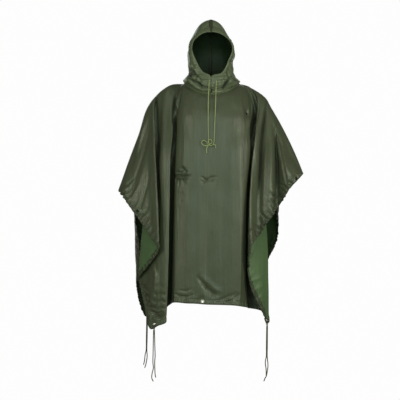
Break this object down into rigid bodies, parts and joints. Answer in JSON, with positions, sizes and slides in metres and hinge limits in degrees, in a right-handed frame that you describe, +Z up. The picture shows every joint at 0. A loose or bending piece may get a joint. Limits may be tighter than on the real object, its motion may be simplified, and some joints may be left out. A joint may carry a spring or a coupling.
{
  "type": "rain poncho",
  "caption": "Hooded rain poncho in coated nylon, hanging as worn with open sides and neck, corded hood, hem eyelets, side snaps and corner tie cords.",
  "frame": {"origin": "middle of the neck at shoulder height, where the wearer carries the poncho", "axes": "-Y out of the chest (front), +X to the right of a viewer who faces the front, +Z up"},
  "size_m": [0.856, 0.4342, 1.6646],
  "materials": {
    "coated_nylon": "satin olive coated nylon",
    "hood_nylon": "satin olive coated nylon",
    "cord_olive": "matt braided cord",
    "dark_metal": "blackened metal"
  },
  "bodies": {
    "root": {"body_front": "coated_nylon", "body_back": "coated_nylon", "side_hem_front_left": "coated_nylon", "side_hem_front_right": "coated_nylon", "side_hem_back_left": "coated_nylon", "side_hem_back_right": "coated_nylon", "hood_left": "hood_nylon", "hood_right": "hood_nylon", "face_tunnel": "hood_nylon", "hood_cord_left": "cord_olive", "hood_cord_right": "cord_olive", "bow_knot": "cord_olive", "bow_loop_left": "cord_olive", "bow_loop_right": "cord_olive", "bow_tail_left": "cord_olive", "bow_tail_right": "cord_olive", "corner_loop_back_left": "cord_olive", "corner_knot_back_left": "cord_olive", "corner_cord_back_left_1": "cord_olive", "corner_cord_back_left_2": "cord_olive", "corner_loop_front_left": "cord_olive", "corner_knot_front_left": "cord_olive", "corner_cord_front_left_1": "cord_olive", "corner_cord_front_left_2": "cord_olive", "corner_loop_front_right": "cord_olive", "corner_knot_front_right": "cord_olive", "corner_cord_front_right_1": "cord_olive", "corner_cord_front_right_2": "cord_olive", "eyelet_front_left": "dark_metal", "eyelet_front_middle": "dark_metal", "eyelet_front_right": "dark_metal", "eyelet_back_left": "dark_metal", "eyelet_back_middle": "dark_metal", "eyelet_back_right": "dark_metal", "snap_chest": "dark_metal", "snap_sleeve_left": "dark_metal", "snap_sleeve_right": "dark_metal", "snap_side_right": "dark_metal"}
  },
  "joints": []
}
